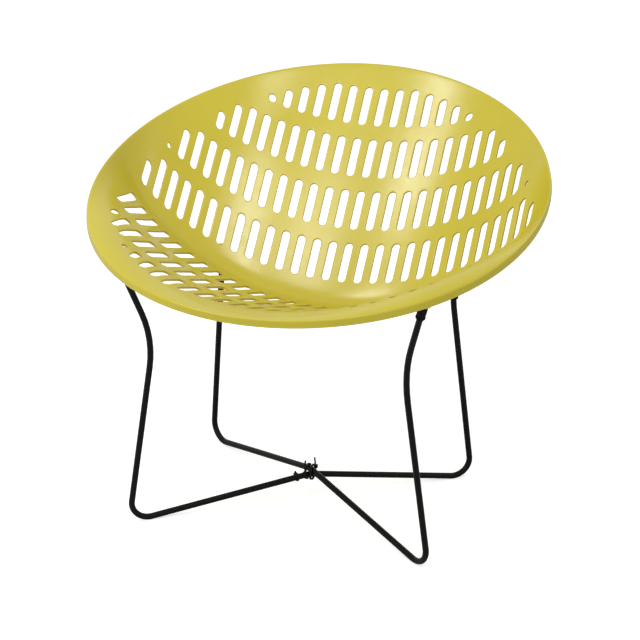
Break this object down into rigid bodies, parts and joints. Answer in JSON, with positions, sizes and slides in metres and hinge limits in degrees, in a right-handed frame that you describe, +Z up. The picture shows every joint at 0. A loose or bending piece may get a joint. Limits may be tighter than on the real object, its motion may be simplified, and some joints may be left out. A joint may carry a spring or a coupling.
{
  "type": "bucket lawn chair",
  "caption": "Low round bucket lawn chair: a slotted moulded plastic shell on two bent steel rods that cross under the seat and are tied together.",
  "frame": {"origin": "on the floor under the middle of the overall box", "axes": "+X to the chair's right hand side as seen from the front, -Y to the front, +Z up"},
  "size_m": [0.766, 0.742, 0.6646],
  "materials": {
    "shell_plastic": "semi-gloss moulded yellow",
    "rod_paint": "semi-gloss black",
    "cap_plastic": "satin black",
    "tie_plastic": "matte black nylon"
  },
  "bodies": {
    "root": {"seat_shell": "shell_plastic", "rod_under": "rod_paint", "rod_over": "rod_paint", "cap_front_left": "cap_plastic", "cap_front_right": "cap_plastic", "cap_back_left": "cap_plastic", "cap_back_right": "cap_plastic", "tie_first": "tie_plastic", "tie_second": "tie_plastic", "tie_third": "tie_plastic"}
  },
  "joints": []
}
